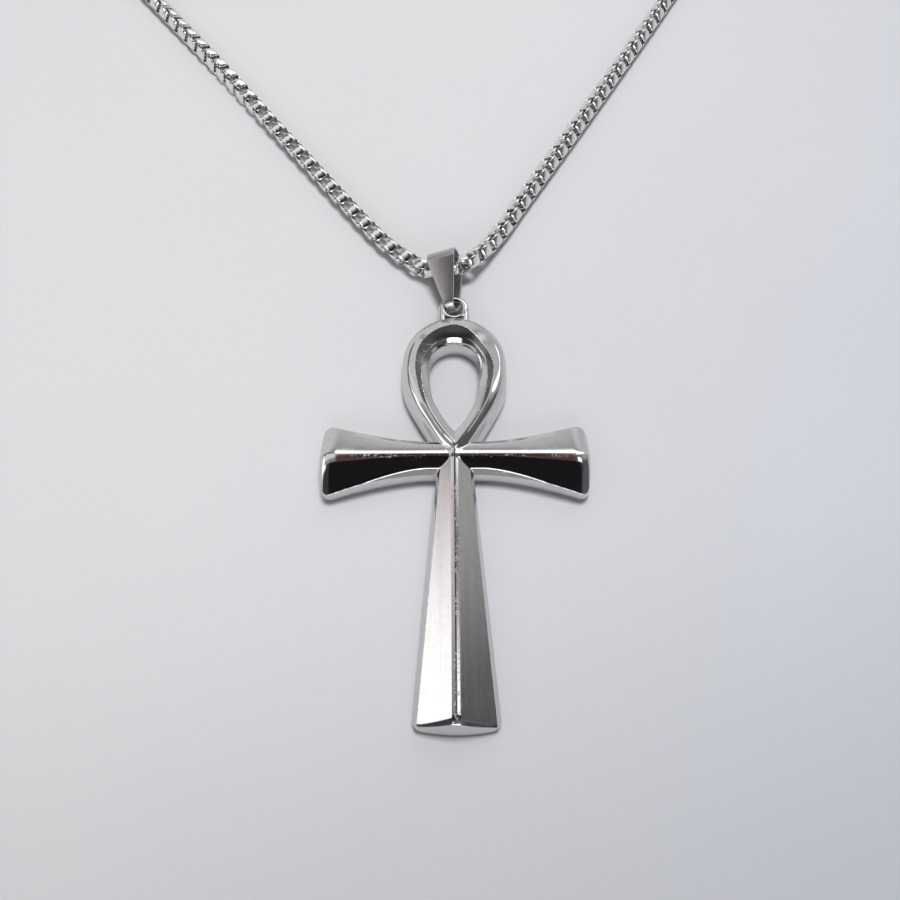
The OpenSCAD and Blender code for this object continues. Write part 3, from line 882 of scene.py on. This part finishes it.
# ceiling cards by x/z and y/z, softness, colour; a later one covers an earlier one
CARDS = [
    (-0.45, -0.13, 0.15, 0.85, 0.06, (0.15, 0.147, 0.155)),
    (-0.45, -0.13, 0.15, 0.355, 0.04, (0.32, 0.31, 0.33)),
    (0.36, 0.60, 0.13, 0.385, 0.05, (2.0, 2.0, 2.0)),
    (-0.32, -0.12, 0.42, 0.72, 0.05, (0.27, 0.26, 0.29)),
    (-1.10, -0.21, 0.36, 1.30, 0.05, (0.9, 0.88, 0.87)),
    (-1.10, -0.46, 0.10, 0.38, 0.05, (0.36, 0.35, 0.35)),
    (-0.21, 0.15, 0.74, 1.30, 0.05, (0.9, 0.90, 0.89)),
    (0.12, 0.32, 0.42, 0.72, 0.05, (0.27, 0.26, 0.29)),
    (-0.17, 0.17, 0.12, 0.46, 0.05, (0.12, 0.062, 0.05)),
    (-0.085, 0.085, 0.28, 0.55, 0.05, (0.03, 0.028, 0.03)),
    (-0.5, 0.5, -0.75, 0.11, 0.05, (0.012, 0.011, 0.013)),
]
CEILING = (0.10, 0.096, 0.105, 1)
CARDS_FROM, CARDS_SOFT = 0.15, 0.1  # the sine of the elevation where the cards begin
FLAT = 0.001  # the least height that a direction is divided by
world = bpy.data.worlds.new("studio")
bpy.context.scene.world = world
world.use_nodes = True
nt = world.node_tree


def edge(x, at, soft, falling=False):
    """0 before at and 1 after it, or the other way round, over a width of soft."""
    first, last = (1.0, 0.0) if falling else (0.0, 1.0)
    return remap(nt, x, at - soft / 2, at + soft / 2, first, last, True)


def between(x, low, high, soft):
    """Two weights that are both 1 only from low to high."""
    return [edge(x, low, soft), edge(x, high, soft, True)]


def over(base, colour, weights):
    """The colour base, with colour over it by the product of weights."""
    w = weights[0]
    for other in weights[1:]:
        w = math_node(nt, "MULTIPLY", w, other)
    return mix_node(nt, w, base, colour)


way = add(nt, "ShaderNodeSeparateXYZ")
nt.links.new(add(nt, "ShaderNodeTexCoord").outputs["Generated"], way.inputs[0])
dx, dy, dz = way.outputs
elevation = math_node(nt, "MULTIPLY", math_node(nt, "ARCSINE", dz), 180 / math.pi)
azimuth = math_node(nt, "MULTIPLY", math_node(nt, "ARCTAN2", dx, dy), 180 / math.pi)
height = math_node(nt, "MAXIMUM", dz, FLAT)
across, along = math_node(nt, "DIVIDE", dx, height), math_node(nt, "DIVIDE", dy, height)
colour = add(nt, "ShaderNodeRGB").outputs[0]
colour.default_value = CEILING
for centre, half, low, high, soft_across, soft_up, tone in WINDOWS:
    turn = math_node(nt, "WRAP", math_node(nt, "SUBTRACT", azimuth, centre), 180, -180)
    inside = edge(math_node(nt, "ABSOLUTE", turn), half, soft_across, True)
    colour = over(colour, tone, [inside] + between(elevation, low, high, soft_up))
high_up = edge(dz, CARDS_FROM, CARDS_SOFT)
for x0, x1, y0, y1, soft, tone in CARDS:
    colour = over(colour, tone, between(across, x0, x1, soft) + between(along, y0, y1, soft) + [high_up])
nt.links.new(colour, nt.nodes["Background"].inputs["Color"])
nt.nodes["Background"].inputs["Strength"].default_value = 1.0


# The lamp above the ankh, a little to the right and beyond it
KEY_SIZE, KEY_WATTS, KEY_HEIGHT, KEY_LEAN = (0.52, 0.46), 32.5, 1.5, (0.06, 0.20)
key = bpy.data.objects.new("key_light", bpy.data.lights.new("key_light", "AREA"))
key.data.shape = "RECTANGLE"
key.data.size, key.data.size_y = KEY_SIZE
key.data.energy = KEY_WATTS
key.location = (KEY_LEAN[0] * KEY_HEIGHT, KEY_LEAN[1] * KEY_HEIGHT, KEY_HEIGHT)
key.rotation_euler = (-key.location).to_track_quat("-Z", "Y").to_euler()
key.visible_glossy = False
bpy.context.scene.collection.objects.link(key)
bpy.context.scene.view_settings.view_transform = "Standard"
